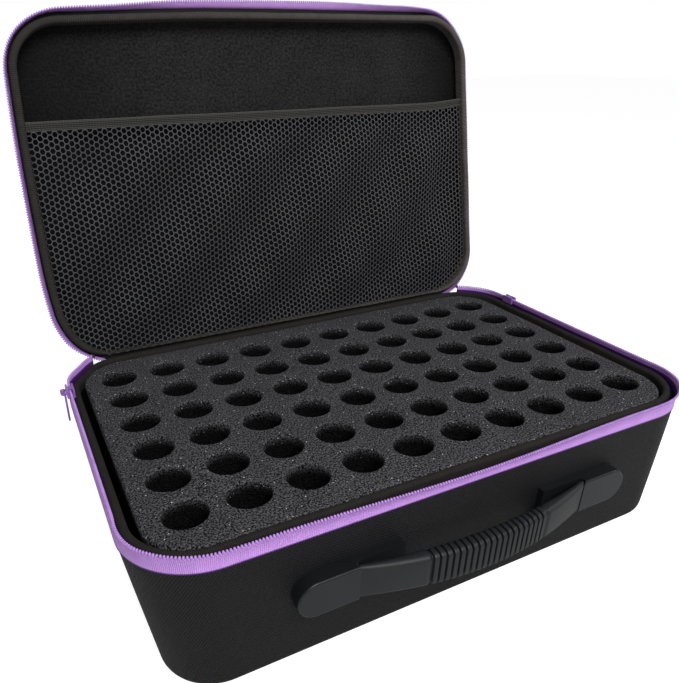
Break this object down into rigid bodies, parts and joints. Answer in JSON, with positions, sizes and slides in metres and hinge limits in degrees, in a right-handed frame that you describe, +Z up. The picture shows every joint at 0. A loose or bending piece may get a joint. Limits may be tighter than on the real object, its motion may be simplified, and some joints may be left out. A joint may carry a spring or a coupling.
{
  "type": "essential oil storage box",
  "caption": "Soft-sided zip case with a rounded tray and hinged lid, foam insert with rows of round bottle holes, mesh pocket in the lid and a bowed carrying handle.",
  "frame": {"origin": "centre of the base's underside", "axes": "+X to the right along the long side, -Y to the front where the handle is, +Z up; the lid stands open behind, leaning back 9 degrees past upright"},
  "size_m": [0.3974, 0.3345, 0.3414],
  "materials": {
    "shell_fabric": "woven",
    "lining_cloth": "brushed",
    "binding_ribbon": "ribbed",
    "zip_tape": "woven",
    "zip_coil": "satin",
    "hinge_cloth": "woven",
    "foam": "open cell foam",
    "grip_rubber": "satin",
    "mount_plastic": "satin",
    "backing_plastic": "matte",
    "screw_steel": "zinc plated",
    "slider_metal": "gloss",
    "pocket_net": "knitted net",
    "pocket_elastic": "ribbed"
  },
  "bodies": {
    "base": {"base_shell": "shell_fabric", "base_lining": "lining_cloth", "base_binding": "binding_ribbon", "base_zip_tape": "zip_tape", "base_zip_coil": "zip_coil", "zip_stops": "screw_steel", "foam_pad": "foam", "foam_insert": "foam", "handle_mount_left": "mount_plastic", "handle_mount_right": "mount_plastic", "handle_grip": "grip_rubber", "handle_screws": "screw_steel", "handle_backing_left": "backing_plastic", "handle_backing_right": "backing_plastic", "hinge_strip_base": "hinge_cloth"},
    "lid": {"lid_shell": "shell_fabric", "lid_lining": "lining_cloth", "lid_binding": "binding_ribbon", "lid_zip_tape": "zip_tape", "lid_zip_coil": "zip_coil", "hinge_strip_lid": "hinge_cloth", "pocket_mesh": "pocket_net", "pocket_band": "pocket_elastic"},
    "slider_left": {"zip_slider_left": "slider_metal"},
    "slider_right": {"zip_slider_right": "slider_metal"},
    "pull_left": {"zip_pull_left": "slider_metal"},
    "pull_right": {"zip_pull_right": "slider_metal"}
  },
  "joints": [
    {"name": "lid_hinge", "type": "hinge", "parent": "base", "child": "lid", "pos_m": [0, 0.121, 0.0961], "axis": [-1, 0, 0], "range_deg": [-99.1, 2]},
    {"name": "slider_left_travel", "type": "slide", "parent": "base", "child": "slider_left", "axis": [0, -1, 0], "range_m": [0, 0.14]},
    {"name": "pull_left_swing", "type": "hinge", "parent": "slider_left", "child": "pull_left", "pos_m": [-0.197, 0.072, 0.09725], "axis": [0, -1, 0], "range_deg": [-60, 0]},
    {"name": "slider_right_travel", "type": "slide", "parent": "base", "child": "slider_right", "axis": [0, -1, 0], "range_m": [0, 0.14]},
    {"name": "pull_right_swing", "type": "hinge", "parent": "slider_right", "child": "pull_right", "pos_m": [0.197, 0.072, 0.09725], "axis": [0, 1, 0], "range_deg": [-60, 0]}
  ]
}
